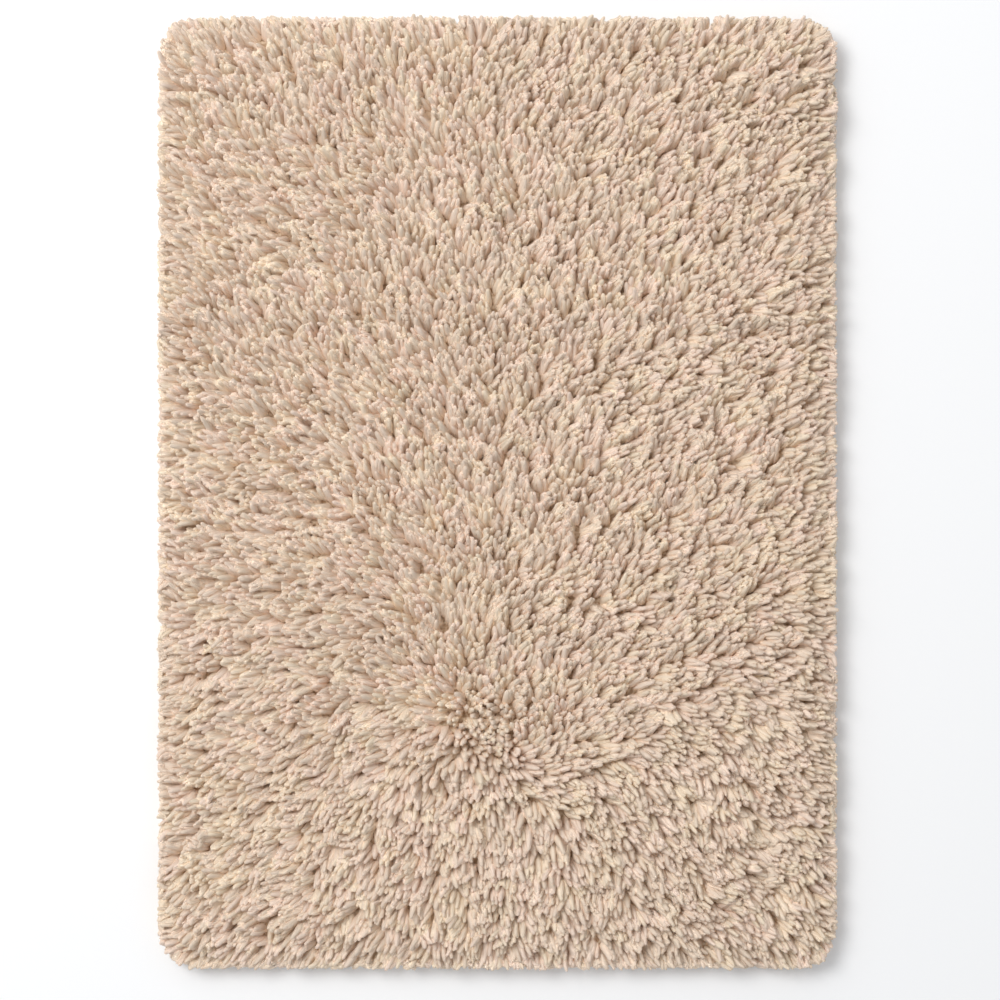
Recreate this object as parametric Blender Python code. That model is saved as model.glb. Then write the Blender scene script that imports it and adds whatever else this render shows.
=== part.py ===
"""Shag rug: a woven backing sheet under a deep cut pile whose rim falls over the backing's edge.

Units are metres and +Z is up. The origin is on the floor under the middle of the rug, +Y runs along
the rug's length and +X along its width.
"""
import math
import random

import bmesh
import bpy
from mathutils import Vector, noise
from mathutils.geometry import delaunay_2d_cdt

# The rug as a whole.
RUG_WIDTH = 0.714           # from lock tip to lock tip along X
RUG_LENGTH = 1.000          # from lock tip to lock tip along Y
CORNER_RADIUS = 0.042       # of the line that the lock tips reach
CLEARANCE = 0.0003          # between the backing and the pile above it

# The backing sheet.
BACKING_THICKNESS = 0.0025
BACKING_INSET = 0.014       # from the tips' line to the backing's edge
BACKING_ARC_STEPS = 8       # straight pieces in each of its round corners

# The standing pile.
PILE_HEIGHT = 0.0335        # mean height of the yarn tips above the floor
LUMP_HEIGHT = 0.0085        # from a crease between two tufts up to a crown
LUMP_LENGTH = 0.075         # of one lump, along the way the yarn lies
LUMP_WIDTH = 0.034          # of one lump, across it
LUMP_REFERENCE = 0.36       # distance from the whorl at which a lump has that width
RIDGE_SHARE = 0.7           # of the lumps' height that comes from the drawn-out ridges
RIDGE_GAIN = 2.6            # how soon a ridge rises to its full height beside a crease
WHORL_RADIUS = 0.13         # round the whorl, inside which the ridges die away
WHORL = Vector((0.060, -0.250))  # the spot that the yarn is combed away from
POINT_SPACING = 0.0215      # between the points of the pile's surface
POINT_JITTER = 0.20         # share of the spacing by which they wander

# The rounded shoulder between the pile's top and the locks at its rim.
# inward: distance from the wall that holds the locks; rise: share of the way up to the pile's height;
# points: how many points go round at that distance.
SHOULDER_RINGS = (
    {"inward": 0.0065, "rise": 0.46, "points": 272},
    {"inward": 0.0160, "rise": 0.74, "points": 190},
    {"inward": 0.0300, "rise": 0.93, "points": 140},
)
SHOULDER_WIDTH = 0.046      # inward distance at which the pile has its full height

# The locks at the rim.
LOCK_COUNT = 272
LOCK_REACH = 0.0115         # of the longest locks, out from the wall
LONG_LOCK_EVERY = 6         # every sixth lock is a longest one and points straight out
OTHER_LOCKS = (0.66, 0.97)  # reach of the others, as a share of the longest
LOCK_WIDTH = 0.0084         # at its root
LOCK_WIDTH_JITTER = 0.10
LOCK_SWAY = math.radians(15)  # largest turn to the left or right of straight out
WALL_HEIGHT = 0.0215        # mean height of a lock's root above the floor
WALL_HEIGHT_JITTER = 0.0026

# One row for each section of a lock beyond its root in the wall. All of them reach down to the floor.
# out: share of the lock's reach; top: share of the root's height; width: share of the root's width.
LOCK_SECTIONS = (
    {"out": 0.55, "top": 0.88, "width": 0.92},
    {"out": 1.00, "top": 0.56, "width": 0.44},
)

BOTTOM_SPACING = 0.085      # between the points of the pile's flat underside
SAME_POINT = 1e-7           # points closer than this count as one
SEED = 11                   # of the wandering points and the locks' sizes
UNDERSIDE = BACKING_THICKNESS + CLEARANCE

YARN_COLOR = (0.604, 0.448, 0.328)
BACKING_COLOR = (0.522, 0.434, 0.319)


def clear_scene():
    """Remove the objects of the scene that is open."""
    for item in list(bpy.data.objects):
        bpy.data.objects.remove(item, do_unlink=True)


def cloth_material(name, color, roughness):
    """A plain matt material."""
    material = bpy.data.materials.new(name)
    material.use_nodes = True
    surface = material.node_tree.nodes["Principled BSDF"]
    surface.inputs["Base Color"].default_value = (*color, 1.0)
    surface.inputs["Roughness"].default_value = roughness
    surface.inputs["Metallic"].default_value = 0.0
    return material


class RoundedRectangle:
    """The line at a given inset from the one that the lock tips reach."""

    def __init__(self, inset):
        self.radius = CORNER_RADIUS - inset
        self.half = Vector((RUG_WIDTH / 2 - inset, RUG_LENGTH / 2 - inset))
        core = self.half - Vector((self.radius, self.radius))
        self.centers = [Vector((x * core.x, y * core.y)) for x, y in ((1, 1), (-1, 1), (-1, -1), (1, -1))]
        self.arc = self.radius * math.pi / 2
        self.straights = [2 * core.y, 2 * core.x] * 2
        self.perimeter = sum(self.straights) + 4 * self.arc

    def at(self, distance):
        """The point this far along the line, counter-clockwise, and the direction straight out of it."""
        rest = distance % self.perimeter
        for side, straight in enumerate(self.straights):
            angle = side * math.pi / 2
            outward = Vector((math.cos(angle), math.sin(angle)))
            along = Vector((-outward.y, outward.x))
            if rest <= straight:
                return self.centers[side - 1] + outward * self.radius + along * rest, outward
            rest -= straight
            if rest <= self.arc:
                angle += rest / self.radius
                outward = Vector((math.cos(angle), math.sin(angle)))
                return self.centers[side] + outward * self.radius, outward
            rest -= self.arc
        return self.at(0.0)

    def depth(self, point):
        """How far a point lies inside the line."""
        core = self.half - Vector((self.radius, self.radius))
        past = Vector((abs(point.x) - core.x, abs(point.y) - core.y))
        outside = Vector((max(past.x, 0.0), max(past.y, 0.0))).length
        return self.radius - outside - min(max(past.x, past.y), 0.0)


def solid(name, build, material):
    """One object from the mesh that `build` makes."""
    bm = bmesh.new()
    build(bm)
    bmesh.ops.recalc_face_normals(bm, faces=bm.faces)
    mesh = bpy.data.meshes.new(name)
    bm.to_mesh(mesh)
    bm.free()
    mesh.materials.append(material)
    item = bpy.data.objects.new(name, mesh)
    bpy.context.collection.objects.link(item)
    return item


def fill_between(bm, rim, inner):
    """Triangles over the points `inner` inside the closed ring `rim`, all vertices of the mesh."""
    vertices = rim + inner
    flat = [vertex.co.xy for vertex in vertices]
    ring = [(i, (i + 1) % len(rim)) for i in range(len(rim))]
    inside_the_ring = 1
    _, _, faces, origins, _, _ = delaunay_2d_cdt(flat, ring, [], inside_the_ring, SAME_POINT)
    for face in faces:
        bm.faces.new([vertices[origins[corner][0]] for corner in face])


# The backing.

def build_backing(bm):
    """A flat sheet with round corners."""
    edge = RoundedRectangle(BACKING_INSET)
    ring = []
    start = 0.0
    for straight in edge.straights:
        start += straight
        for step in range(BACKING_ARC_STEPS + 1):
            point, _ = edge.at(start + edge.arc * step / BACKING_ARC_STEPS)
            ring.append(bm.verts.new((point.x, point.y, 0.0)))
        start += edge.arc
    face = bm.faces.new(ring)
    raised = bmesh.ops.extrude_face_region(bm, geom=[face])["geom"]
    corners = [item for item in raised if isinstance(item, bmesh.types.BMVert)]
    bmesh.ops.translate(bm, verts=corners, vec=(0.0, 0.0, BACKING_THICKNESS))


# The pile.

def lump(point):
    """Height of the pile's lumps at a point, from 0 in a crease to 1 on a crown.

    The lumps are drawn out along the lines that run away from the whorl, as combed tufts are.
    """
    away = point - WHORL
    around = away.normalized() * (LUMP_REFERENCE / LUMP_WIDTH)
    ridge = abs(noise.noise(Vector((around.x, around.y, away.length / LUMP_LENGTH))))
    swell = 0.5 + noise.noise(Vector((point.x, point.y, 0.0)) / LUMP_LENGTH)
    combed = RIDGE_SHARE * min(1.0, away.length / WHORL_RADIUS)
    level = combed * min(1.0, RIDGE_GAIN * ridge) + (1 - combed) * swell
    return min(1.0, max(0.0, level))


def pile_height(point, rise):
    """Height of the yarn tips at a point, where `rise` is the share of the shoulder climbed."""
    crown = PILE_HEIGHT + (lump(point) - 0.5) * LUMP_HEIGHT
    return WALL_HEIGHT + (crown - WALL_HEIGHT) * rise


def shoulder_points():
    """The points of the shoulder, in rings that follow the rim."""
    points = []
    for ring in SHOULDER_RINGS:
        line = RoundedRectangle(LOCK_REACH + ring["inward"])
        for step in range(ring["points"]):
            point, _ = line.at(line.perimeter * (step + 0.5) / ring["points"])
            points.append((point.x, point.y, pile_height(point, ring["rise"])))
    return points


def field_points(wall, rng):
    """The points of the pile's top inside the shoulder, on a loose triangular grid."""
    points = []
    row_step = POINT_SPACING * math.sqrt(3) / 2
    rows = int(wall.half.y / row_step) + 1
    columns = int(wall.half.x / POINT_SPACING) + 1
    for row in range(-rows, rows + 1):
        for column in range(-columns, columns + 1):
            place = Vector(((column + 0.5 * (row % 2)) * POINT_SPACING, row * row_step))
            astray = Vector((rng.uniform(-1, 1), rng.uniform(-1, 1)))
            point = place + astray * POINT_JITTER * POINT_SPACING
            if wall.depth(point) > SHOULDER_WIDTH:
                points.append((point.x, point.y, pile_height(point, 1.0)))
    return points


def underside_points(wall):
    """A few points of the flat underside, on a square grid."""
    rows = int(wall.half.y / BOTTOM_SPACING)
    columns = int(wall.half.x / BOTTOM_SPACING)
    grid = [Vector((column, row)) * BOTTOM_SPACING
            for row in range(-rows, rows + 1) for column in range(-columns, columns + 1)]
    return [point for point in grid if wall.depth(point) > BOTTOM_SPACING / 3]


def add_lock(bm, root, center, outward, size):
    """One four-sided lock that droops from its root in the wall and lies level on the floor."""
    across = Vector((-outward.y, outward.x))
    ring = root
    for section in LOCK_SECTIONS:
        middle = center + outward * size["reach"] * section["out"]
        half = across * size["width"] * section["width"] / 2
        top = size["height"] * section["top"]
        corners = ((middle - half, 0.0), (middle + half, 0.0), (middle + half, top), (middle - half, top))
        ahead = [bm.verts.new((point.x, point.y, z)) for point, z in corners]
        for side in range(4):
            after = (side + 1) % 4
            bm.faces.new((ring[side], ring[after], ahead[after], ahead[side]))
        ring = ahead
    bm.faces.new(ring)


def lock_sizes(number, rng):
    """Reach, turn, width and root height of one lock."""
    longest = number % LONG_LOCK_EVERY == 0
    return {
        "reach": LOCK_REACH * (1.0 if longest else rng.uniform(*OTHER_LOCKS)),
        "sway": 0.0 if longest else rng.uniform(-LOCK_SWAY, LOCK_SWAY),
        "width": LOCK_WIDTH * (1 + rng.uniform(-LOCK_WIDTH_JITTER, LOCK_WIDTH_JITTER)),
        "height": WALL_HEIGHT + rng.uniform(-WALL_HEIGHT_JITTER, WALL_HEIGHT_JITTER),
    }


def build_wall(bm, wall, rng):
    """The upright wall round the slab with its locks; gives the rings of its lower and upper edge."""
    pitch = wall.perimeter / LOCK_COUNT
    low_ring, high_ring = [], []
    for number in range(LOCK_COUNT):
        size = lock_sizes(number, rng)
        place = (number + 0.5) * pitch
        center, straight_out = wall.at(place)
        sides = [wall.at(place + side * size["width"] / 2)[0] for side in (-1, 1)]
        low = [bm.verts.new((point.x, point.y, UNDERSIDE)) for point in sides]
        high = [bm.verts.new((point.x, point.y, size["height"])) for point in sides]
        angle = math.atan2(straight_out.y, straight_out.x) + size["sway"]
        outward = Vector((math.cos(angle), math.sin(angle)))
        add_lock(bm, low + high[::-1], center, outward, size)
        low_ring += low
        high_ring += high
    for start in range(1, 2 * LOCK_COUNT, 2):
        end = (start + 1) % (2 * LOCK_COUNT)
        bm.faces.new((low_ring[start], low_ring[end], high_ring[end], high_ring[start]))
    return low_ring, high_ring


def build_pile(bm):
    """The lumpy slab with its wall of locks."""
    rng = random.Random(SEED)
    wall = RoundedRectangle(LOCK_REACH)
    low_ring, high_ring = build_wall(bm, wall, rng)
    crown = [bm.verts.new(point) for point in shoulder_points() + field_points(wall, rng)]
    fill_between(bm, high_ring, crown)
    below = [bm.verts.new((point.x, point.y, UNDERSIDE)) for point in underside_points(wall)]
    fill_between(bm, low_ring, below)


def main():
    """Build the rug."""
    clear_scene()
    solid("backing", build_backing, cloth_material("backing_cloth", BACKING_COLOR, 0.9))
    solid("pile", build_pile, cloth_material("shag_yarn", YARN_COLOR, 0.85))


main()
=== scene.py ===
# %% [markdown]
# # A shag rug, yarn end by yarn end
#
# The real rug is made by tufting: thick soft yarn is pushed through a woven cloth in close rows and cut,
# so that each stitch leaves two loose ends some 36 mm long. They are too long to stand up, so they lean
# over and lie on each other like thatch. This script builds the rug the same way: a cloth, then about
# thirty-four thousand separate yarn ends, combed, pressed against each other and let fall over the edge.
#
# The frame holds the sizes that everything below is worked out from, in metres, with +Z up.

# %% Load the frame
import math

import bmesh
import bpy
import numpy as np
from mathutils import Matrix, Vector


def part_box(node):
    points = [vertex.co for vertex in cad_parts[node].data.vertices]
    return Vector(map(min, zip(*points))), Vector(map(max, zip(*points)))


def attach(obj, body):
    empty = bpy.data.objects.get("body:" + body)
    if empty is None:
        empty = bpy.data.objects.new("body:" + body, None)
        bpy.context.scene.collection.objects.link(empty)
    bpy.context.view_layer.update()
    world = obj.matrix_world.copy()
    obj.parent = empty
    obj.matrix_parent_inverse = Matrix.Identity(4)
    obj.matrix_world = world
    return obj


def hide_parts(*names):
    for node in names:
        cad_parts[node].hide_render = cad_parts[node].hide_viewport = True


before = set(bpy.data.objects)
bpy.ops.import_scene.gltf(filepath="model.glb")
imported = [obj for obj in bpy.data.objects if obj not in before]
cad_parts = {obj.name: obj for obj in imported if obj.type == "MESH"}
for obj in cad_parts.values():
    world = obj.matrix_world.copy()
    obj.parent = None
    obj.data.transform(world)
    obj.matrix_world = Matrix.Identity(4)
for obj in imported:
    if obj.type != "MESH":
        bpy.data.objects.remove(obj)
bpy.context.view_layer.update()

MM = 0.001
PILE_LOW, PILE_HIGH = (np.array(corner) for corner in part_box("pile"))
CLOTH_LOW, CLOTH_HIGH = (np.array(corner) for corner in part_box("backing"))
RUG_HALF = PILE_HIGH[:2]                                # from the middle to where the longest tips reach
CLOTH_TOP = float(CLOTH_HIGH[2])
CLOTH_INSET = float(RUG_HALF[0] - CLOTH_HIGH[0])        # from the tips' line to the cloth's edge
CORNER_RADIUS = 42 * MM                                 # of the tips' line
print("rug", np.round((PILE_HIGH - PILE_LOW) / MM, 1), "mm; the yarn falls", round(CLOTH_INSET / MM, 1),
      "mm past the cloth")

# %% [markdown]
# ## The rug's outline
#
# Many steps below ask the same question: how deep inside the rug is this point, and which way is straight
# out? The outline is a rectangle with round corners, so one formula answers it for any number of points.
# A rectangle with round corners is a smaller rectangle, the core, grown by the radius on all sides.


# %% How deep a point lies inside the outline
def rim_depth(xy, inset=0.0):
    """Depth of each point inside the line `inset` within the tips' line, and the way straight out."""
    radius = CORNER_RADIUS - inset
    core = RUG_HALF - CORNER_RADIUS
    past = np.abs(xy) - core
    beyond = np.maximum(past, 0.0)
    distance = np.linalg.norm(beyond, axis=-1)
    depth = radius - distance - np.minimum(past.max(axis=-1), 0.0)
    nearest_side = np.eye(2)[past.argmax(axis=-1)]
    outward = np.where(distance[..., None] > 0, beyond / np.maximum(distance, 1e-9)[..., None], nearest_side)
    return depth, outward * np.sign(xy)


middle_depth, _ = rim_depth(np.zeros((1, 2)))
print("the middle lies", round(float(middle_depth[0]) / MM), "mm inside the rim")

# %% [markdown]
# The cloth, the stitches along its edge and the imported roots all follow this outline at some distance. So a
# second helper gives it as a closed line of points, moved inward as far as asked. A third one sets points
# along such a line at an even spacing, the way a machine sets its stitches.

# %% The outline as a line of points
CORNER_STEPS = 10                                       # straight pieces in each round corner


def outline(inset):
    """The rug's outline moved inward, as points counter-clockwise."""
    core = RUG_HALF - CORNER_RADIUS
    radius = CORNER_RADIUS - inset
    ring = []
    for quarter, (x, y) in enumerate(((1, 1), (-1, 1), (-1, -1), (1, -1))):
        for step in range(CORNER_STEPS + 1):
            angle = (quarter + step / CORNER_STEPS) * math.pi / 2
            ring.append((x * core[0] + radius * math.cos(angle), y * core[1] + radius * math.sin(angle)))
    return np.array(ring)


def between(ring, step):
    """The same closed line with points about `step` apart."""
    parts = []
    for start, end in zip(ring, np.roll(ring, -1, axis=0)):
        count = max(1, round(np.linalg.norm(end - start) / step))
        parts.append(start + (end - start) * np.arange(count)[:, None] / count)
    return np.concatenate(parts)


print("the cloth's edge is a line of", len(outline(CLOTH_INSET)), "points")

# %% [markdown]
# ## Smooth chance
#
# Handmade things vary in patches: a whole tuft leans left, not one thread of it. Plain random numbers
# don't give that, so this helper adds a few sine waves that run in random directions. The result is a
# gentle field of hills about as wide as the size asked for. A fixed seed gives the same rug each time.

# %% A field of soft hills
PACES = (0.6, 1.4)                                      # slowest and fastest wave, beside the mean one


def ripples(xy, size, seed, waves=9):
    """Smooth random values with a spread of about 1, whose hills are about `size` across."""
    chance = np.random.default_rng(seed)
    heading = chance.uniform(0, 2 * math.pi, waves)
    phase = chance.uniform(0, 2 * math.pi, waves)
    pace = math.pi / size * chance.uniform(*PACES, waves)
    total = 0.0
    for turn, start, speed in zip(heading, phase, pace):
        total = total + np.sin(speed * (xy[..., 0] * math.cos(turn) + xy[..., 1] * math.sin(turn)) + start)
    return total / math.sqrt(waves / 2)


trial_spots = np.random.default_rng(1).uniform(-0.3, 0.3, (500, 2))
print("ripples spread by", round(float(np.std(ripples(trial_spots, 40 * MM, 2))), 2))

# %% [markdown]
# ## Where the yarn is stitched
#
# A tufting machine sets its stitches in rows, each row shifted by half a stitch against the last. Here they
# are 4.5 mm apart, about as close as the yarn is thick, so that no cloth shows through. Each root strays a
# little from its place, because the cloth gives. Roots stop a little short of the cloth's edge.

# %% The roots of the yarn ends
STITCH_PITCH = 4.5 * MM
STITCH_STRAY = 0.32                                     # of the pitch
EDGE_MARGIN = 2 * MM                                    # from the outermost roots to the cloth's edge
chance = np.random.default_rng(41)


def grid_numbers(pitch):
    """Whole numbers for the columns and rows of a grid that covers the rug and a little more."""
    return np.meshgrid(*(np.arange(-int(half / pitch) - 1, int(half / pitch) + 2) for half in RUG_HALF))


columns, rows = grid_numbers(STITCH_PITCH)
grid = np.stack([columns + 0.5 * (rows % 2), rows], axis=-1).reshape(-1, 2) * STITCH_PITCH
roots = grid + chance.uniform(-1, 1, grid.shape) * STITCH_STRAY * STITCH_PITCH
roots = roots[rim_depth(roots, CLOTH_INSET)[0] > EDGE_MARGIN]
print(len(roots), "yarn ends in straight rows")

# %% [markdown]
# The straight rows end in steps where the corners are round. Going round the edge once more with closer
# stitches hides the steps and gives the rug its full rim. Here two such rows follow the outline.

# %% Closer stitches along the edge
EDGE_PITCH = 3.8 * MM
EDGE_ROWS = (1.5 * MM, 5.5 * MM)                        # from the cloth's edge
for row_inset in EDGE_ROWS:
    line = between(outline(CLOTH_INSET + row_inset), EDGE_PITCH)
    roots = np.concatenate([roots, line + chance.uniform(-1, 1, line.shape) * STITCH_STRAY * EDGE_PITCH])
root_depth, _ = rim_depth(roots, CLOTH_INSET)
ENDS = len(roots)
print(ENDS, "yarn ends in all")

# %% [markdown]
# ## Which way the yarn lies
#
# Shag is brushed by feet and by the factory's last combing. On this rug the yarn fans out to both sides
# from a parting down the middle. Above a bent line in the lower third it also lies towards the head of the
# rug, and below the line towards its foot. Where the parting meets that line is a whorl, like the crown of
# a head of hair. There the yarn has no clear way to lie, so it stands more upright, and each end and each
# small patch strays more by itself. At the rim the yarn turns towards the nearest edge.

# %% The combed direction at any place
PARTING = -17 * MM                                      # where the yarn changes from left to right
FAN_WIDTH = 218 * MM                                    # from the parting, where it lies at 45 degrees
TURN_LINE = np.array([56 * MM, -300 * MM])              # the foot of the bent line
TURN_SLOPE = 0.65                                       # how steeply the line rises to both sides
TURN_SOFT_RIGHT = 69 * MM                               # how softly the yarn turns across the line
TURN_SOFT_LEFT = 360 * MM
STANDING_SHARE = 0.20                                   # of the comb's pull, below which the yarn leans less


def combing(xy):
    """Which way the comb went at each place in plan, short where the yarn is left standing."""
    aside = xy[..., 0] - TURN_LINE[0]
    line = TURN_LINE[1] + TURN_SLOPE * np.abs(aside)
    leftness = np.clip(-aside / RUG_HALF[0], 0, 1)
    softness = TURN_SOFT_RIGHT + (TURN_SOFT_LEFT - TURN_SOFT_RIGHT) * leftness
    flow = np.stack([(xy[..., 0] - PARTING) / FAN_WIDTH, np.tanh((xy[..., 1] - line) / softness)], axis=-1)
    return flow / np.maximum(np.linalg.norm(flow, axis=-1, keepdims=True), STANDING_SHARE)


comb_at_head = combing(np.array([[0.2, 0.3]]))[0]
print("near the head, right of the middle, the yarn is combed towards", np.round(comb_at_head, 2))

# %% [markdown]
# The comb gives the main lean. Small patches and single ends add a lean of their own, in any direction, and
# wide patches turn the whole lay a little, the way a hand leaves it that strokes over the pile.

# %% Lean and heading of the yarn
WHORL = np.array([-8 * MM, -250 * MM])
WHORL_RADIUS = 50 * MM                                  # inside it the combing loses its hold
RIM_TURN = 60 * MM                                      # from the tips' line, where the yarn turns outward
RIM_PULL = 0.6                                          # how far it leans there, beside the combed lean
GUST_SIZE = 105 * MM                                    # of the wide patches that lie another way
GUST_TURN = math.radians(9)
CLUMP_SIZE = 34 * MM                                    # of the small patches
CLUMP_LEAN = math.radians(6)
COMBED_LEAN = math.radians(47)                          # of the tips, from upright
FOOT_LEAN = math.radians(6)                             # more at the rug's foot, and less at its head
STRAY_LEAN = math.radians(7)                            # of each end by itself
TANGLED_STRAY = math.radians(17)                        # the same in the middle of the whorl
TANGLED_LEAN = math.radians(12)                         # of each small patch there


def lay(xy):
    """The direction in plan in which the yarn lies at each place, and how far its tip leans from upright."""
    combed = np.clip(np.linalg.norm(xy - WHORL, axis=-1, keepdims=True) / WHORL_RADIUS, 0, 1)
    stray = np.random.default_rng(5).standard_normal(xy.shape)
    lean = COMBED_LEAN - FOOT_LEAN * xy[..., 1:] / RUG_HALF[1]
    patch = np.stack([ripples(xy, CLUMP_SIZE, 31), ripples(xy, CLUMP_SIZE, 32)], axis=-1)
    tilt = lean * combed * combing(xy) + (STRAY_LEAN + (TANGLED_STRAY - STRAY_LEAN) * (1 - combed)) * stray
    tilt = tilt + (CLUMP_LEAN + (TANGLED_LEAN - CLUMP_LEAN) * (1 - combed)) * patch
    depth, outward = rim_depth(xy)
    rim = np.clip(1 - depth / RIM_TURN, 0, 1)[..., None]
    tilt = tilt * (1 - rim) + outward * rim * RIM_PULL * COMBED_LEAN
    gust = GUST_TURN * ripples(xy, GUST_SIZE, 7) * (1 - rim[..., 0])
    return np.arctan2(tilt[..., 1], tilt[..., 0]) + gust, np.linalg.norm(tilt, axis=-1)


heading, tip_lean = lay(roots)
print("tips lean by", np.round(np.degrees(np.percentile(tip_lean, (5, 50, 95)))), "degrees")

# %% [markdown]
# ## Tufts
#
# Loose yarn gathers in small bunches of five to ten ends that lean together, with dark partings between
# them. The bunches could be modelled as one shape each, but then their ends would not lie over each
# other. Here each yarn end belongs to the nearest of many bunch centres, and takes its lean, its turn and
# its shade from it.

# %% Bunches of yarn ends
BUNCH_PITCH = 12 * MM
BUNCH_STRAY = 0.42                                      # of the pitch
BUNCH_TURN = np.radians(17)
BUNCH_LEAN = np.radians(6)
BUNCH_LENGTH = 0.05                                     # how much the bunches differ in length
bunch_grid = np.stack(grid_numbers(BUNCH_PITCH), axis=-1).reshape(-1, 2) * BUNCH_PITCH
bunches = bunch_grid + chance.uniform(-BUNCH_STRAY, BUNCH_STRAY, bunch_grid.shape) * BUNCH_PITCH


def nearest(points, centers, block=2000):
    """The number of the nearest centre for each point, worked out block by block to save memory."""
    found = []
    for start in range(0, len(points), block):
        gap = points[start:start + block, None, :] - centers[None, :, :]
        found.append((gap ** 2).sum(axis=-1).argmin(axis=1))
    return np.concatenate(found)


bunch = nearest(roots, bunches)
bunch_turn = BUNCH_TURN * chance.standard_normal(len(bunches))
bunch_lean = BUNCH_LEAN * chance.standard_normal(len(bunches))
bunch_length = 1 + BUNCH_LENGTH * chance.standard_normal(len(bunches))
bunch_tint = chance.uniform(-1, 1, len(bunches))
print(len(np.unique(bunch)), "bunches of about", round(ENDS / len(np.unique(bunch)), 1), "ends")

# %% [markdown]
# ## One yarn end's size and bend
#
# A yarn end leaves the cloth nearly upright and bends over as it goes, because its own weight and its
# neighbours press on it. Its lean from upright therefore grows from root to tip. At the rim nothing holds
# the yarn up from outside, so there it leans further: some ends stick out level, and others drop to the
# floor. No two ends are alike, so each value strays a little by chance. In the whorl the ends press on each
# other least and open up, so they are fuller there.

# %% Length, lean, turn and width of each end
YARN_RADIUS = 2.35 * MM
YARN_LENGTH = 36 * MM
LENGTH_STRAY = 0.09
WIDTH_STRAY = 0.09
WIDTH_LIMITS = (0.75, 1.25)
CROWN_BLOOM = 0.24                                      # how much fuller the loose ends of the whorl are
BLOOM_REACH = 1.3                                       # whorl radii, to where they are as thin as elsewhere
SHORN = 0.10                                            # cut off where the yarn stands upright
LEAN_ROOT = math.radians(13)
RIM_LEAN_ROOT = np.radians((12, 44))                    # of the ends that stick out level, and that drop
RIM_LEAN_TIP = np.radians((82, 150))
RIM_SOFT = 36 * MM                                      # from the cloth's edge, where the yarn starts to fall
RIM_ONSET = 1.5                                         # how suddenly the fall sets in towards the edge
RIM_SHORT = 0.12                                        # how much shorter the yarn is at the edge
RIM_ORDER = 0.5                                         # how much less it turns aside there
ROOT_STRAY, TIP_STRAY, TURN_STRAY, CURL = np.radians((7, 9, 8, 20))

length = YARN_LENGTH * bunch_length[bunch] * (1 + LENGTH_STRAY * chance.standard_normal(ENDS))
fall = np.clip(1 - root_depth / RIM_SOFT, 0, 1) ** RIM_ONSET
drop = chance.uniform(0, 1, ENDS)
length = length * (1 - RIM_SHORT * fall) * (1 - SHORN * np.clip(1 - tip_lean / COMBED_LEAN, 0, 1))
rim_root = RIM_LEAN_ROOT[0] + (RIM_LEAN_ROOT[1] - RIM_LEAN_ROOT[0]) * drop
rim_tip = RIM_LEAN_TIP[0] + (RIM_LEAN_TIP[1] - RIM_LEAN_TIP[0]) * drop
lean_root = LEAN_ROOT + (rim_root - LEAN_ROOT) * fall + ROOT_STRAY * chance.standard_normal(ENDS)
lean_tip = tip_lean + (rim_tip - tip_lean) * fall + bunch_lean[bunch] * (1 - fall)
lean_tip = lean_tip + TIP_STRAY * chance.standard_normal(ENDS)
turn = heading + (bunch_turn[bunch] + TURN_STRAY * chance.standard_normal(ENDS)) * (1 - RIM_ORDER * fall)
curl = CURL * chance.standard_normal(ENDS)
radius = YARN_RADIUS * (1 + WIDTH_STRAY * chance.standard_normal(ENDS)).clip(*WIDTH_LIMITS)
from_whorl = np.linalg.norm(roots - WHORL, axis=1)
radius = radius * (1 + CROWN_BLOOM * np.clip(BLOOM_REACH - from_whorl / WHORL_RADIUS, 0, 1))
print("yarn", np.round(np.percentile(2 * radius, (5, 95)) / MM, 1), "mm thick,",
      np.round(np.percentile(length, (5, 95)) / MM), "mm long")

# %% [markdown]
# ## The curves before they press on each other
#
# Adding up short steps in the leaning direction gives the curve of each yarn end. It turns aside a little
# on its way, which gives the ends a slight curl. A bunch is closer together at its tips than at its roots,
# because brushed fibres cling to each other. So each end is bent a little towards the middle of its bunch's
# tips, and less at the rim, where the ends hang freely.

# %% One curve for each yarn end
NODES = 10                                              # points along each yarn end
RIM_BEND = 0.7                                          # how much later the yarn bends at the rim
STRAIGHT_PLACE = 0.4                                    # along the yarn, where its curl crosses its heading
ROOT_LIFT = 0.2 * MM                                    # of the lowest points above the cloth
GATHER = 0.30                                           # of the way to the middle of the bunch's tips
FREE_AT_RIM = 0.7                                       # how much less of it at the rim

along = np.linspace(0, 1, NODES)
step_share = (along[1:] + along[:-1]) / 2
bent = step_share ** (1 + RIM_BEND * fall[:, None])
lean = lean_root[:, None] + (lean_tip - lean_root)[:, None] * bent
way = turn[:, None] + curl[:, None] * (step_share - STRAIGHT_PLACE)
stride = (length / (NODES - 1))[:, None]
ahead = np.stack([np.sin(lean) * np.cos(way), np.sin(lean) * np.sin(way), np.cos(lean)], -1)
yarn = np.zeros((ENDS, NODES, 3))
yarn[:, 0, :2] = roots
yarn[:, 0, 2] = CLOTH_TOP + ROOT_LIFT
yarn[:, 1:] = yarn[:, :1] + np.cumsum(ahead * stride[..., None], axis=1)

bunch_tips = np.stack([np.bincount(bunch, yarn[:, -1, axis], len(bunches)) for axis in range(3)], -1)
bunch_tips /= np.maximum(np.bincount(bunch, minlength=len(bunches)), 1)[:, None]
pull = (bunch_tips[bunch] - yarn[:, -1]) * (GATHER * (1 - FREE_AT_RIM * fall))[:, None]
yarn += pull[:, None, :] * (along ** 2)[None, :, None]
print("highest tip", round(float(yarn[..., 2].max()) / MM, 1), "mm")

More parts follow.
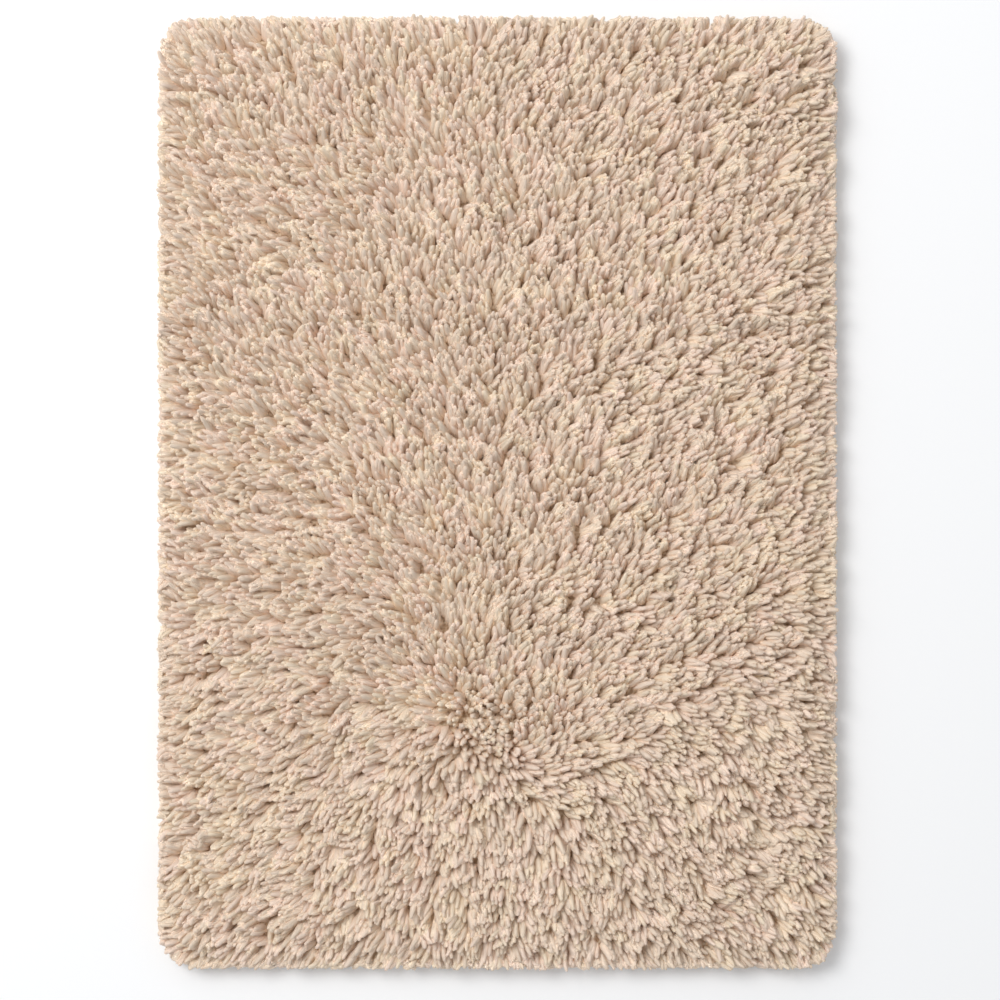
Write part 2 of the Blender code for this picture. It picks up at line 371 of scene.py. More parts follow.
# %% [markdown]
# ## Yarn ends press on each other
#
# So far the curves run through each other. Real yarn can't, and the way neighbours prop each other up is
# what makes a deep pile look full. A cloth or rigid body simulation would be slow for so many strands. A
# simpler method works: find points of different ends that are too close, push each pair apart, pull every
# end back to its length, keep it above the floor, and repeat.
#
# Close pairs are found by sorting all points into small boxes, as wide as the largest distance at which two
# ends still press on each other. Only points in the same box or in boxes that touch it can be that close.


# %% Push close points apart
def close_pairs(points, reach):
    """All pairs of points that lie in the same or in touching boxes of side `reach`."""
    box = np.floor((points - points.min(axis=0)) / reach).astype(np.int64) + 1
    span = box.max(axis=0) + 2
    key = (box[:, 0] * span[1] + box[:, 1]) * span[2] + box[:, 2]
    order = np.argsort(key, kind="stable")
    in_order = key[order]
    shifts = [(x, y, z) for x in (-1, 0, 1) for y in (-1, 0, 1) for z in (-1, 0, 1) if (x, y, z) >= (0, 0, 0)]
    firsts, seconds = [], []
    for x, y, z in shifts:
        wanted = in_order + (x * span[1] + y) * span[2] + z
        start = np.searchsorted(in_order, wanted, "left")
        end = np.searchsorted(in_order, wanted, "right")
        for step in range(int((end - start).max())):
            here = np.nonzero(start + step < end)[0]
            there = start[here] + step
            new = here < there if (x, y, z) == (0, 0, 0) else here != there
            firsts.append(order[here[new]])
            seconds.append(order[there[new]])
    return np.concatenate(firsts), np.concatenate(seconds)


def pushes(points, owner, radii, softness):
    """How far each point is pushed by the points of other ends that are too close to it."""
    first, second = close_pairs(points, 2 * radii.max() * softness)
    apart = owner[first] != owner[second]
    first, second = first[apart], second[apart]
    gap = points[first] - points[second]
    distance = np.linalg.norm(gap, axis=1)
    wanted = (radii[first] + radii[second]) * softness
    near = distance < wanted
    first, second, gap, distance = first[near], second[near], gap[near], np.maximum(distance[near], 1e-7)
    push = gap * ((wanted[near] - distance) / distance / 2)[:, None]
    moves = np.zeros_like(points)
    for axis in range(3):
        moves[:, axis] = (np.bincount(first, push[:, axis], len(points))
                          - np.bincount(second, push[:, axis], len(points)))
    return moves, len(first)


print("yarn ends are pressed apart at", ENDS * NODES, "points")

# %% [markdown]
# ## Rings along the yarn
#
# The curves will become tubes, and how thick a tube is decides how low its curve may lie. So the tube's
# rings are settled first. Brushed yarn is thin where it is stitched in, swells in its middle and closes
# again at its cut end, which blends neighbouring ends into soft clumps. At the rim the rings sit where the
# yarn bends over the edge.

# %% The rings of a tube
SIDES = 4
RING_PLACES = np.array([0.0, 0.54, 0.92, 1.0])          # share of the yarn end's length
RIM_RING_PLACES = np.array([0.0, 0.50, 0.76, 1.0])      # the same at the rim
RING_WIDTHS = np.array([0.90, 1.68, 1.00, 0.70])        # share of the yarn's radius
RINGS = len(RING_PLACES)
POINTS_EACH = RINGS * SIDES + 1
print("the yarn swells to", round(2 * YARN_RADIUS * float(RING_WIDTHS.max()) / MM, 1), "mm")

# %% [markdown]
# ## Settle the pile
#
# Each round moves every point by part of its push, smooths the curve, and lays the steps out again at
# their right length from the root up. The stitched root hardly moves. The pile is shorn at one height, as
# the mill does it, and the ends at the rim stop at slightly different distances.

# %% Rounds of pushing
SOFTNESS = 0.47                                         # soft yarn gives way to this share of its width
PUSH_SHARE = 0.42                                       # of the push that is taken in one round
LARGEST_PUSH = 1.2 * MM
SMOOTHING = 0.25                                        # of the way to the middle of both neighbours
ROUNDS = 16
RIM_TRIM = chance.uniform(0.0, 3.2, ENDS) * MM          # how far short of the tips' line each end stops
CEILING = 43 * MM                                       # above which the pile is shorn
STIFF_SHARE = 0.35                                      # of the yarn, from the root, that gives way less
ROOM = 1.15                                             # below the curve, beside the tube's own radius
owner = np.repeat(np.arange(ENDS), NODES)
radii = np.repeat(radius, NODES)
hold = np.minimum(along / STIFF_SHARE, 1.0)[None, :, None]
room_below = radius[:, None] * np.interp(along, RING_PLACES, RING_WIDTHS * ROOM)


def keep_inside(yarn):
    """Keeps the ends above the floor and cloth, and inside the tips' line."""
    depth, outward = rim_depth(yarn[..., :2])
    short = np.maximum(radius[:, None] + RIM_TRIM[:, None] - depth, 0)
    yarn[..., :2] -= outward * short[..., None]
    cloth_depth, _ = rim_depth(yarn[..., :2], CLOTH_INSET)
    ground = np.where(cloth_depth > 0, CLOTH_TOP, 0.0)
    yarn[:, 1:, 2] = np.clip(yarn[:, 1:, 2], (ground + room_below)[:, 1:], CEILING)


for turn_number in range(ROUNDS):
    moves, touching = pushes(yarn.reshape(-1, 3), owner, radii, SOFTNESS)
    moves = moves.reshape(yarn.shape) * hold
    moves[:, 1:-1] = 0.5 * moves[:, 1:-1] + 0.25 * (moves[:, :-2] + moves[:, 2:])
    size = np.linalg.norm(moves, axis=-1, keepdims=True) * PUSH_SHARE
    yarn += moves * PUSH_SHARE * np.minimum(1, LARGEST_PUSH / np.maximum(size, 1e-9))
    bend = 0.5 * (yarn[:, :-2] + yarn[:, 2:]) - yarn[:, 1:-1]
    yarn[:, 2:-1] += SMOOTHING * bend[:, 1:]
    for node_number in range(1, NODES):
        reach = yarn[:, node_number] - yarn[:, node_number - 1]
        reach *= stride / np.maximum(np.linalg.norm(reach, axis=1), 1e-9)[:, None]
        yarn[:, node_number] = yarn[:, node_number - 1] + reach
    keep_inside(yarn)
    if turn_number % 4 == 0 or turn_number == ROUNDS - 1:
        print("round", turn_number, "touching pairs", touching)
print("pile stands", round(float(np.percentile(yarn[..., 2].max(axis=1), 50)) / MM, 1), "mm tall")

# %% [markdown]
# ## From curves to yarn
#
# Each curve becomes a tube with four sides, shaded smooth, and a rounded end, because cut shag yarn is
# fluffy and its end closes to a soft dome. Hair curves would be lighter, but a solid tube can be reused in
# any program. The root end stays open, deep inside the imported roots, where nobody can see it. Every tube
# has the same few rings, so all vertices of a patch come from one array sum, and the faces of one tube are
# repeated with an offset. Each vertex also stores where it sits on its yarn, for the finish.

# %% Tubes with rounded ends
KNOBBLY = 0.07                                          # how much each ring's width strays
DOME = 0.55                                             # how far the tip goes past the last ring, in radii
NUDGE = 1e-5                                            # keeps an upright yarn's side from being no side


def rings_along(yarn, fall):
    """The ring centres of every yarn end, read off its curve, and the direction of the yarn there."""
    place = (RING_PLACES + (RIM_RING_PLACES - RING_PLACES) * fall[:, None]) * (NODES - 1)
    before = np.minimum(place.astype(int), NODES - 2)
    share = (place - before)[..., None]
    each = np.arange(len(yarn))[:, None]
    centers = yarn[each, before] * (1 - share) + yarn[each, before + 1] * share
    tangents = np.gradient(centers, axis=1)
    return centers, tangents / np.linalg.norm(tangents, axis=-1, keepdims=True)


def tube_points(yarn, radius, fall):
    """The vertices of every yarn end: its rings from root to tip, then the middle of its dome."""
    centers, tangents = rings_along(yarn, fall)
    sideways = np.cross(np.array([0.0, 0.0, 1.0]), tangents)
    sideways[..., 0] += NUDGE
    sideways /= np.linalg.norm(sideways, axis=-1, keepdims=True)
    upward = np.cross(tangents, sideways)
    angle = np.arange(SIDES) / SIDES * 2 * math.pi
    spoke = (np.cos(angle)[None, None, :, None] * sideways[:, :, None]
             + np.sin(angle)[None, None, :, None] * upward[:, :, None])
    stray = 1 + KNOBBLY * chance.standard_normal((len(yarn), RINGS, 1, 1)).clip(-2, 2)
    width = radius[:, None, None, None] * RING_WIDTHS[None, :, None, None] * stray
    rings = centers[:, :, None] + spoke * width
    domes = centers[:, -1] + tangents[:, -1] * (radius * DOME)[:, None]
    return np.concatenate([rings.reshape(len(yarn), -1, 3), domes[:, None]], axis=1)


def tube_faces():
    """The faces of one yarn end, as rows of vertex numbers."""
    faces = []
    for ring in range(RINGS - 1):
        for side in range(SIDES):
            here, after = ring * SIDES + side, ring * SIDES + (side + 1) % SIDES
            faces.append((here, after, after + SIDES, here + SIDES))
    last = (RINGS - 1) * SIDES
    faces += [(last + side, last + (side + 1) % SIDES, RINGS * SIDES) for side in range(SIDES)]
    return faces


FACES = tube_faces()
TRIANGLES_EACH = sum(len(face) - 2 for face in FACES)
print("one yarn end has", TRIANGLES_EACH, "triangles, all of them", TRIANGLES_EACH * ENDS)

# %% [markdown]
# ## A place for each yarn end on a map
#
# Some programs paint a finish onto a flat image. For that each yarn end gets its own small cell of the
# image, with its length along the cell and its sides across it.

# %% Small map cells
CELL_ROOM = 0.84                                        # of a cell, so that neighbours stay apart
END_ROOM = 0.3                                          # left free at both ends, in ring distances


def map_cells(count):
    """Where each corner of each face of `count` yarn ends lies on the image, in face order."""
    across = math.ceil(math.sqrt(count))
    cell = 1 / across
    spots = []
    for face in FACES:
        for place, corner in enumerate(face):
            ring, side = divmod(corner, SIDES)
            side = SIDES if side == 0 and len(face) == 4 and place in (1, 2) else side
            if corner == RINGS * SIDES:
                side = face[0] % SIDES + 0.5
            spots.append(((ring + END_ROOM) / (RINGS + 2 * END_ROOM), side / SIDES))
    corners = np.array(spots) * CELL_ROOM + (1 - CELL_ROOM) / 2
    numbers = np.arange(count)
    corner_of_cell = np.stack([numbers % across, numbers // across], axis=-1) * cell
    return (corner_of_cell[:, None] + corners[None] * cell).reshape(-1, 2)


print("a map of 10000 ends has", len(map_cells(10000)), "corners")

# %% [markdown]
# ## Six patches of pile
#
# One mesh of all the yarn would be too heavy for many programs, so the pile is split into six patches,
# three along the rug and two across. The split follows the roots. The tips of one patch lie over the next,
# so no line shows between them.

# %% Meshes from arrays
PATCH_COLUMNS, PATCH_ROWS = 2, 3
SHADE_STRAY = 0.55                                      # how much single ends differ in brightness
DOME_PLACE = 1.02                                       # of the dome's middle along the yarn, for the finish
shade = (SHADE_STRAY * chance.standard_normal(ENDS)).clip(-1, 1)


def patch_mesh(name, chosen):
    """One mesh of the chosen yarn ends, with what the finish needs to know about each vertex."""
    points = tube_points(yarn[chosen], radius[chosen], fall[chosen]).reshape(-1, 3)
    base = np.arange(len(chosen))[:, None] * POINTS_EACH
    loops = np.concatenate([np.array(face) for face in FACES])
    counts = np.tile([len(face) for face in FACES], len(chosen))
    mesh = bpy.data.meshes.new(name)
    mesh.vertices.add(len(points))
    mesh.vertices.foreach_set("co", points.astype(np.float32).ravel())
    mesh.loops.add(len(loops) * len(chosen))
    mesh.loops.foreach_set("vertex_index", (base + loops).astype(np.int32).ravel())
    mesh.polygons.add(len(counts))
    mesh.polygons.foreach_set("loop_start", (np.cumsum(counts) - counts).astype(np.int32))
    mesh.update(calc_edges=True)
    mesh.validate()
    mesh.shade_smooth()
    ring_place = np.append(np.repeat(RING_PLACES, SIDES), DOME_PLACE)
    spin = np.append(np.tile(np.arange(SIDES) / SIDES * 2 * math.pi, RINGS), 0.0)
    values = {
        "root_to_tip": np.tile(ring_place, len(chosen)),
        "yarn_shade": np.repeat(shade[chosen], POINTS_EACH),
        "tuft_tint": np.repeat(bunch_tint[bunch[chosen]], POINTS_EACH),
    }
    for label, numbers in values.items():
        mesh.attributes.new(label, "FLOAT", "POINT").data.foreach_set("value", numbers.astype(np.float32))
    length_mm = length[chosen, None] * ring_place[None] / MM
    circle = np.broadcast_to(np.stack([np.cos(spin), np.sin(spin)], -1), (len(chosen), POINTS_EACH, 2))
    around = np.concatenate([circle, length_mm[..., None]], axis=-1).astype(np.float32)
    twist_place = mesh.attributes.new("around_and_along", "FLOAT_VECTOR", "POINT")
    twist_place.data.foreach_set("vector", around.ravel())
    cells = map_cells(len(chosen)).astype(np.float32)
    mesh.uv_layers.new(name="OFBake").uv.foreach_set("vector", cells.ravel())
    return mesh


def link(name, data):
    """An object for a mesh, lamp or camera, in the scene."""
    item = bpy.data.objects.new(name, data)
    bpy.context.scene.collection.objects.link(item)
    return item


def strip_number(axis, count):
    """Which of `count` equal strips across one axis each root lies in."""
    return np.clip(((roots[:, axis] / RUG_HALF[axis] + 1) / 2 * count).astype(int), 0, count - 1)


column, row = strip_number(0, PATCH_COLUMNS), strip_number(1, PATCH_ROWS)
patches = []
for patch_row, row_name in enumerate(("foot", "middle", "head")):
    for patch_column, column_name in enumerate(("left", "right")):
        chosen = np.nonzero((row == patch_row) & (column == patch_column))[0]
        name = f"shag_yarn_{row_name}_{column_name}"
        piece = link(name, patch_mesh(name, chosen))
        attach(piece, "root")
        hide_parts("pile")
        patches.append(piece)
        print(name, len(chosen), "ends,", len(chosen) * TRIANGLES_EACH, "triangles")

# %% [markdown]
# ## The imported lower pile
#
# Deep in the pile the yarn stands so close that no light passes between the ends. Drawing every root there
# would cost many faces that nobody sees. The lower half of the pile is drawn instead as one low mound of
# packed yarn, round at its rim, that sits on the cloth. It follows the mean height of the tips above it, a
# fixed depth below them, and stands a little higher in the whorl, where the ends lean apart.

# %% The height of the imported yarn
CORE_DEPTH = 17 * MM                                    # below the tips
LEVEL_CELL = 20 * MM                                    # over which the tips' height is averaged
CORE_INSET = CLOTH_INSET - 2 * MM
CROWN_FILL = 3 * MM                                     # how much higher it stands in the whorl
CORE_SHOULDER = 15 * MM                                 # from its rim to its full height
CORE_LUMPS = 1.2 * MM
CORE_LUMP_SIZE = 14 * MM


def tip_level(xy):
    """The mean height of the yarn's tips in the cells around each place."""
    counts = np.array([int(math.ceil(half / LEVEL_CELL)) * 2 for half in RUG_HALF])
    span = [(-half, half) for half in RUG_HALF]
    tips = yarn[root_depth > CORE_SHOULDER, -1]
    many, _, _ = np.histogram2d(tips[:, 0], tips[:, 1], counts, span)
    total, _, _ = np.histogram2d(tips[:, 0], tips[:, 1], counts, span, weights=tips[:, 2])
    level = (total + float(tips[:, 2].mean())) / (many + 1)
    spot = np.clip((xy + RUG_HALF) / (2 * RUG_HALF) * counts - 0.5, 0, counts - 1.001)
    low = np.floor(spot).astype(int)
    share = spot - low
    height = 0.0
    for x in (0, 1):
        for y in (0, 1):
            weight = np.where((x, y), share, 1 - share).prod(axis=1)
            height = height + level[low[:, 0] + x, low[:, 1] + y] * weight
    return height


def core_height(xy):
    """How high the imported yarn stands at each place."""
    depth, _ = rim_depth(xy, CORE_INSET)
    share = np.clip(depth / CORE_SHOULDER, 0, 1)
    lumps = CORE_LUMPS * ripples(xy, CORE_LUMP_SIZE, 21) * share
    crown = np.clip(1 - np.linalg.norm(xy - WHORL, axis=-1) / WHORL_RADIUS, 0, 1)
    full = tip_level(xy) - CORE_DEPTH + CROWN_FILL * crown
    return CLOTH_TOP + (full - CLOTH_TOP) * np.sqrt(1 - (1 - share) ** 2) + lumps


print("packed yarn in the middle", round(float(core_height(np.zeros((1, 2)))[0]) / MM, 1), "mm high")

# %% [markdown]
# The mound itself is a stack of rings, each the outline shrunk towards the middle, closed by one face above
# and one below. The rings are close together at the rim, where the mound is round, and wider apart inside.

# %% The mound of packed yarn
CORE_STEP = 10 * MM                                     # between points along a ring
CORE_LIFT = 0.1 * MM                                    # of its underside above the cloth
RIM_SHRINK, INNER_SHRINK = (1, 0.92, 6), (0.92, 0.02, 34)   # first and last ring, and how many
core_ring = between(outline(CORE_INSET), CORE_STEP)
around_count = len(core_ring)
shrink = np.concatenate([np.linspace(*RIM_SHRINK), np.linspace(*INNER_SHRINK)[1:]])
levels = [np.column_stack([core_ring, np.full(around_count, CLOTH_TOP + CORE_LIFT)])]
levels += [np.column_stack([ring, core_height(ring)]) for ring in core_ring[None] * shrink[:, None, None]]
core_points = np.concatenate(levels)
core_faces = [tuple(range(around_count))[::-1]]
for level in range(len(levels) - 1):
    for spot in range(around_count):
        after = (spot + 1) % around_count
        here, above = level * around_count, (level + 1) * around_count
        core_faces.append((here + spot, here + after, above + after, above + spot))
core_faces.append(tuple((len(levels) - 1) * around_count + spot for spot in range(around_count)))
core_mesh = bpy.data.meshes.new("packed_lower_pile")
core_mesh.from_pydata(core_points.tolist(), [], core_faces)
core_mesh.validate()
core_mesh.shade_smooth()
packed = link("packed_lower_pile", core_mesh)
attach(packed, "root")
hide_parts("pile")
print("packed roots", round(float(core_points[:, 2].max()) / MM, 1), "mm high,", len(core_faces), "faces")

# %% [markdown]
# ## The cloth underneath
#
# The yarn is stitched into a plain woven cloth that is coated below so that no stitch slips out. Only its
# underside can be seen, when the rug is lifted. It is a thin flat sheet with round corners, cut some 14 mm
# smaller than the pile all round. A filled outline, drawn upward and with its edges bevelled, has the soft
# edge of thick cloth.

# %% The cloth sheet
EDGE_BEVEL = 0.7 * MM
cloth_mesh = bpy.data.meshes.new("woven_backing_cloth")
sheet_bm = bmesh.new()
floor_ring = [sheet_bm.verts.new((x, y, 0.0)) for x, y in outline(CLOTH_INSET)]
bottom = sheet_bm.faces.new(floor_ring[::-1])
raised = bmesh.ops.extrude_face_region(sheet_bm, geom=[bottom])["geom"]
raised_points = [item for item in raised if isinstance(item, bmesh.types.BMVert)]
bmesh.ops.translate(sheet_bm, vec=(0, 0, CLOTH_TOP), verts=raised_points)
sheet_bm.faces.ensure_lookup_table()
rim_edges = [edge for edge in sheet_bm.edges if edge.calc_face_angle(0.0) > math.radians(60)]
bmesh.ops.bevel(sheet_bm, geom=rim_edges, offset=EDGE_BEVEL, segments=3, profile=0.5, affect="EDGES")
bmesh.ops.recalc_face_normals(sheet_bm, faces=sheet_bm.faces)
sheet_bm.to_mesh(cloth_mesh)
sheet_bm.free()
cloth = link("woven_backing_cloth", cloth_mesh)
cloth_mesh.shade_smooth()
cloth_mesh.set_sharp_from_angle(angle=math.radians(40))
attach(cloth, "root")
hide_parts("backing")

# %% [markdown]
# ## Colours and helpers for nodes
#
# Colours are noted as they look on a screen, in sRGB hex. Light adds up in linear numbers, so one function
# turns one into the other. The next helper adds one shader node with its settings and links. The others
# use it for what comes up again and again: a sum, a moved range, a mix of two colours.


# %% Colours and nodes
def linear(code):
    """A hex sRGB colour as linear red, green, blue and alpha."""
    screen = [int(code[place:place + 2], 16) / 255 for place in (1, 3, 5)]
    light = [part / 12.92 if part <= 0.04045 else ((part + 0.055) / 1.055) ** 2.4 for part in screen]
    return (*light, 1.0)


def plug(tree, value, socket):
    """Sets a socket to a value, or links another node's output to it."""
    if isinstance(value, bpy.types.NodeSocket):
        tree.links.new(value, socket)
    else:
        socket.default_value = value


def node(tree, kind, inputs=None, **settings):
    """One new node. `inputs` gives a value, or another node's output, for each of its sockets."""
    made = tree.nodes.new(kind)
    for name, value in settings.items():
        setattr(made, name, value)
    for label, value in (inputs or {}).items():
        plug(tree, value, next(item for item in made.inputs if item.enabled and item.name == label))
    return made


def sum_of(tree, operation, *values):
    """One step of arithmetic on numbers or on other nodes' outputs."""
    made = node(tree, "ShaderNodeMath", operation=operation)
    for socket, value in zip(made.inputs, values):
        plug(tree, value, socket)
    return made.outputs["Value"]


def mapped(tree, value, from_range, to_range=(0.0, 1.0)):
    """A number moved from one range to another, and kept inside it."""
    return node(tree, "ShaderNodeMapRange", {
        "Value": value, "From Min": from_range[0], "From Max": from_range[1],
        "To Min": to_range[0], "To Max": to_range[1]}).outputs["Result"]


def mixed(tree, share, first, second):
    """Two colours mixed by a share, read off the mixing node's colour output."""
    made = node(tree, "ShaderNodeMix", data_type="RGBA")
    values = {"Factor_Float": share, "A_Color": first, "B_Color": second}
    for socket in made.inputs:
        if socket.identifier in values:
            plug(tree, values[socket.identifier], socket)
    return next(socket for socket in made.outputs if socket.identifier == "Result_Color")


def noise(tree, place, scale, detail):
    """Soft random values between 0 and 1, with about `scale` hills to the metre."""
    settings = {"Vector": place, "Scale": scale, "Detail": detail}
    return node(tree, "ShaderNodeTexNoise", settings).outputs["Fac"]


def bumped(tree, surface, height, strength, distance):
    """Lets a height tilt the surface's shading."""
    made = node(tree, "ShaderNodeBump", {"Strength": strength, "Distance": distance, "Height": height})
    tree.links.new(made.outputs["Normal"], surface.inputs["Normal"])


def new_material(name, **constants):
    """A material with nodes: its tree, and its surface shader with the given settings."""
    material = bpy.data.materials.new(name)
    material.use_nodes = True
    surface = material.node_tree.nodes["Principled BSDF"]
    for label, value in constants.items():
        surface.inputs[label.replace("_", " ")].default_value = value
    return material, material.node_tree, surface


def place_on(tree):
    """Where each point lies on the piece, in metres."""
    return node(tree, "ShaderNodeTexCoord").outputs["Object"]


print("sand as linear light", np.round(linear("#D9C7B5")[:3], 3))

# %% [markdown]
# ## Brushed polyester shag yarn
#
# The yarn is spun from fine polyester fibre, dyed a warm sand, and brushed until it is soft. The fibre is
# matt, with the refractive index of polyester. Brushing raises a haze of fibre ends that catches light at
# the edge of each yarn, which the shader's sheen gives. Light also passes some millimetres through the
# loose fibres before it comes out again, so the yarn glows softly and its grooves stay warm. The shader's
# subsurface part gives that.
#
# The colour gets lighter towards the root, as painted light that brightens the shaded grooves deep in the
# pile, and the tips and cut ends are painted darker, as painted shade where the lamps light them most. Some
# tufts are a little pinker and some creamier, as dye lots are.

# %% The yarn's finish
# tip and cut end: painted shade on the lit ends; root: painted light in the grooves; body: the yarn's colour
TIP_PAINTED_SHADE = "#D9C7B5"
CUT_END_PAINTED_SHADE = "#D7C5B3"
YARN_BODY = "#ECDAC7"
ROOT_PAINTED_LIGHT = "#FAECDB"
PINK_CAST = "#EBD5C7"
CREAM_CAST = "#EBDCC2"
SHEEN_TINT = "#F4E4D6"
FULL_BODY = 0.60                                        # along the yarn, where it has its own colour
yarn_material, tree, surface = new_material(
    "brushed_polyester_shag_yarn", Roughness=0.85, IOR=1.5, Specular_IOR_Level=0.15,
    Sheen_Weight=0.15, Sheen_Roughness=0.5, Sheen_Tint=linear(SHEEN_TINT),
    Subsurface_Weight=0.6, Subsurface_Radius=(1.0, 1.0, 1.0), Subsurface_Scale=5.0 * MM)
surface.subsurface_method = "BURLEY"
place = place_on(tree)


def stored(label, output):
    """What each vertex of the yarn stores under a name."""
    return node(tree, "ShaderNodeAttribute", attribute_name=label).outputs[output]


tip_share, tint = stored("root_to_tip", "Fac"), stored("tuft_tint", "Fac")
# lighter towards the root as painted light, darker at the tip and cut end as painted shade
color = mixed(tree, mapped(tree, tip_share, (0.12, FULL_BODY)), linear(ROOT_PAINTED_LIGHT), linear(YARN_BODY))
color = mixed(tree, mapped(tree, tip_share, (FULL_BODY, 1.0)), color, linear(TIP_PAINTED_SHADE))
color = mixed(tree, mapped(tree, tip_share, (0.97, DOME_PLACE)), color, linear(CUT_END_PAINTED_SHADE))
color = mixed(tree, mapped(tree, tint, (0.1, 1.0), (0.0, 0.5)), color, linear(PINK_CAST))
color = mixed(tree, mapped(tree, tint, (-0.1, -1.0), (0.0, 0.5)), color, linear(CREAM_CAST))
fibers = noise(tree, place, 900.0, 2.0)
brightness = sum_of(tree, "ADD", mapped(tree, stored("yarn_shade", "Fac"), (-1.0, 1.0), (0.95, 1.04)),
                    mapped(tree, fibers, (0.3, 0.7), (-0.04, 0.04)))
bright = node(tree, "ShaderNodeVectorMath", {"Vector": color, "Scale": brightness}, operation="SCALE")
tree.links.new(bright.outputs["Vector"], surface.inputs["Base Color"])
print("yarn colour has", len(tree.nodes), "nodes")

# %% [markdown]
# Two plies are twisted together with one turn in about 12 mm, which shows as a faint slanting groove. The
# angle round the yarn is kept as a cosine and a sine, so it has no seam, and the shader turns it back into
# an angle. Angle plus length times the turn rate is constant along the groove, so the cosine of twice that
# is a wave with two grooves that slant round the yarn.

# %% The twist as a bump
TURN_LENGTH = 12.0                                      # mm for one full turn of the two plies
FUZZ = 1.6                                              # of the loose fibres, beside the groove's depth
parts = node(tree, "ShaderNodeSeparateXYZ", {"Vector": stored("around_and_along", "Vector")}).outputs
angle = sum_of(tree, "ARCTAN2", parts["Y"], parts["X"])
phase = sum_of(tree, "MULTIPLY_ADD", parts["Z"], 2 * math.pi / TURN_LENGTH, angle)
groove = sum_of(tree, "COSINE", sum_of(tree, "MULTIPLY", phase, 2.0))
relief = sum_of(tree, "MULTIPLY_ADD", noise(tree, place, 1600.0, 1.0), FUZZ, groove)
bumped(tree, surface, relief, 0.12, 0.35 * MM)
for piece in patches:
    piece.data.materials.append(yarn_material)
print("yarn finish has", len(tree.nodes), "nodes")

# %% [markdown]
# ## Packed yarn
#
# The imported yarn lower down is the same yarn seen from its side and end. Noise about as fine as the yarn
# stands for the single ends, and a strong bump gives them their round form. Their colour is painted shade,
# because they lie deep in the pile: brown in the gaps between them, and darker than the yarn above even on
# top.

# %% The imported yarn's finish
ENDS_A_METRE = 240.0
# painted shade: brown in the gaps, and a darker yarn colour on top
GAP_PAINTED_SHADE, PACKED_TOP_PAINTED_SHADE = "#B4977A", "#E2CDB3"
packed_material, packed_tree, packed_surface = new_material(
    "packed_shag_yarn_painted_shade", Roughness=0.9, Specular_IOR_Level=0.2)
clumps = noise(packed_tree, place_on(packed_tree), ENDS_A_METRE, 1.0)
top_share = mapped(packed_tree, clumps, (0.40, 0.60))
packed_color = mixed(packed_tree, top_share, linear(GAP_PAINTED_SHADE), linear(PACKED_TOP_PAINTED_SHADE))
packed_tree.links.new(packed_color, packed_surface.inputs["Base Color"])
bumped(packed_tree, packed_surface, clumps, 1.0, 4.0 * MM)
core_mesh.materials.append(packed_material)
print("packed yarn's finish has", len(packed_tree.nodes), "nodes")

# %% [markdown]
# ## Coated plain weave
#
# The cloth is a coarse plain weave of undyed yarn, about six threads to the centimetre. Warp and weft
# cross over and under by turns. Two sine waves of the same spacing, one along each side, multiplied
# together give that chequer of small pillows; the low ones are coloured darker, as painted shade. The
# coating makes it a little less matt than bare cloth.

# %% The cloth's finish
THREAD_PITCH = 1.6 * MM
# the low pillows' darker colour is painted shade
THREAD_GAP_PAINTED_SHADE, THREAD_TOP = "#BFA68C", "#D3BBA2"
cloth_material, cloth_tree, cloth_surface = new_material("coated_plain_weave_cloth", Roughness=0.8, IOR=1.5)
axes = node(cloth_tree, "ShaderNodeSeparateXYZ", {"Vector": place_on(cloth_tree)}).outputs
waves = [sum_of(cloth_tree, "SINE", sum_of(cloth_tree, "MULTIPLY", axes[axis], math.pi / THREAD_PITCH))
         for axis in ("X", "Y")]
pillows = sum_of(cloth_tree, "MULTIPLY", *waves)
weave_share = mapped(cloth_tree, pillows, (-1.0, 1.0))
cloth_color = mixed(cloth_tree, weave_share, linear(THREAD_GAP_PAINTED_SHADE), linear(THREAD_TOP))
cloth_tree.links.new(cloth_color, cloth_surface.inputs["Base Color"])
bumped(cloth_tree, cloth_surface, pillows, 0.5, 0.3 * MM)
cloth_mesh.materials.append(cloth_material)
print("cloth finish has", len(cloth_tree.nodes), "nodes")

# %% [markdown]
# ## Floor, light and camera
#
# The rug is shown from straight above on a plain pale floor, which is matt so that no lamp mirrors in it.

# %% The floor
FLOOR_SIZE = 6.0
FLOOR_DROP = 0.1 * MM                                   # so that it never shares a plane with the cloth
edge = FLOOR_SIZE / 2
floor_mesh = bpy.data.meshes.new("pale_floor")
floor_mesh.from_pydata([(-edge, -edge, 0), (edge, -edge, 0), (edge, edge, 0), (-edge, edge, 0)],
                       [], [(0, 1, 2, 3)])
floor = link("pale_floor", floor_mesh)
floor.location.z = -FLOOR_DROP
floor_material, _, _ = new_material("pale_matt_floor", Base_Color=linear("#FEFEFE"), Roughness=0.9,
                                    Specular_IOR_Level=0.2)
floor_mesh.materials.append(floor_material)
print("floor", FLOOR_SIZE, "m wide")

# %% [markdown]
# One soft lamp to the upper left makes the narrow shadow on the right and below, and models each yarn end.
# A wider and weaker one beside it softens that shadow's edge, and an even pale sky fills in the rest.

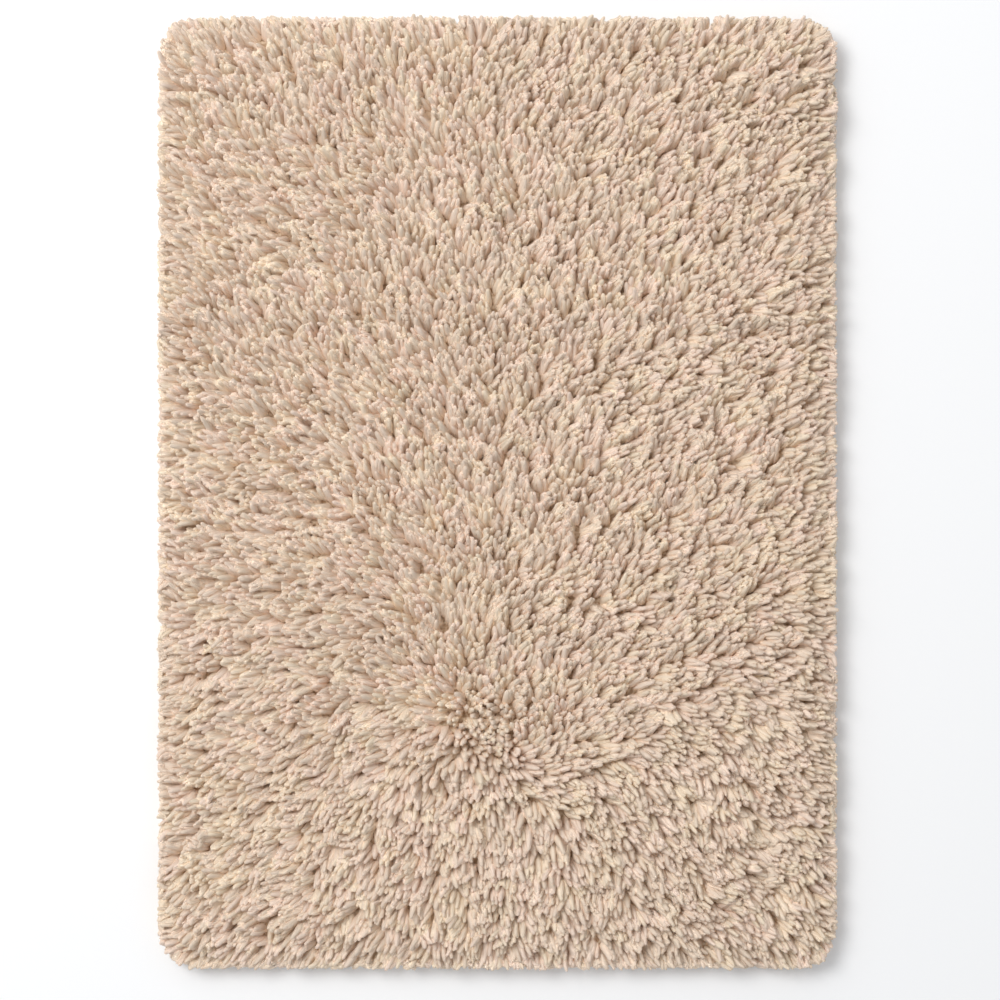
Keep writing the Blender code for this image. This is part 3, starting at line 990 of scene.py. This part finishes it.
# %% The lamps
KEY_AIM = np.array([-0.52, 0.36, 0.92])                 # from the rug towards the lamp
KEY_DISTANCE = 5.0
KEY_SIZE = 2.4
KEY_POWER = 114
FILL_AIM = np.array([-0.50, 0.58, 0.92])
FILL_DISTANCE = 3.5
FILL_SIZE = 3.5
FILL_POWER = 25
SKY_COLOR = "#F6F8FB"
SKY_STRENGTH = 0.57


def soft_lamp(name, toward, distance, size, power):
    """A round lamp that shines on the rug's middle from the side given by `toward`."""
    data = bpy.data.lights.new(name, "AREA")
    data.shape = "DISK"
    data.size = size
    data.energy = power
    lamp = link(name, data)
    lamp.location = tuple(float(part) for part in toward / np.linalg.norm(toward) * distance)
    back = lamp.location.normalized()
    side = Vector((0.0, 1.0, 0.0)).cross(back).normalized()
    lamp.rotation_euler = Matrix((side, back.cross(side), back)).transposed().to_euler()
    return lamp


key = soft_lamp("soft_key", KEY_AIM, KEY_DISTANCE, KEY_SIZE, KEY_POWER)
fill = soft_lamp("wide_fill", FILL_AIM, FILL_DISTANCE, FILL_SIZE, FILL_POWER)
world = bpy.data.worlds.new("pale_sky")
bpy.context.scene.world = world
world.use_nodes = True
sky = world.node_tree.nodes["Background"]
sky.inputs["Color"].default_value = linear(SKY_COLOR)
sky.inputs["Strength"].default_value = SKY_STRENGTH
print("key lamp at", np.round(key.location, 2), "m")

# %% [markdown]
# The camera looks straight down from high enough that the rug's sides hardly show. The colours are shown
# plainly, without a film look, so that they can be compared with real ones. Light may bounce between the
# yarns eight times, which keeps the grooves warm.

# %% The camera
CAMERA_PLACE = (0.0026, -0.0074, 2.5)                   # a little beside the rug's middle, as in the photo
VIEW_WIDTH = 1.055                                      # of the floor that the picture shows
SENSOR_WIDTH = 36.0
BOUNCES = 8
camera_data = bpy.data.cameras.new("overhead_camera")
camera_data.sensor_width = SENSOR_WIDTH
camera_data.lens = SENSOR_WIDTH * CAMERA_PLACE[2] / VIEW_WIDTH
camera = link("overhead_camera", camera_data)
camera.location = CAMERA_PLACE
camera.rotation_euler = (0.0, 0.0, 0.0)
scene = bpy.context.scene
scene.camera = camera
scene.view_settings.view_transform = "Standard"
scene.view_settings.look = "None"
scene.cycles.diffuse_bounces = BOUNCES
scene.cycles.max_bounces = BOUNCES
print("camera sees", VIEW_WIDTH, "m across with a lens of", round(camera_data.lens), "mm")
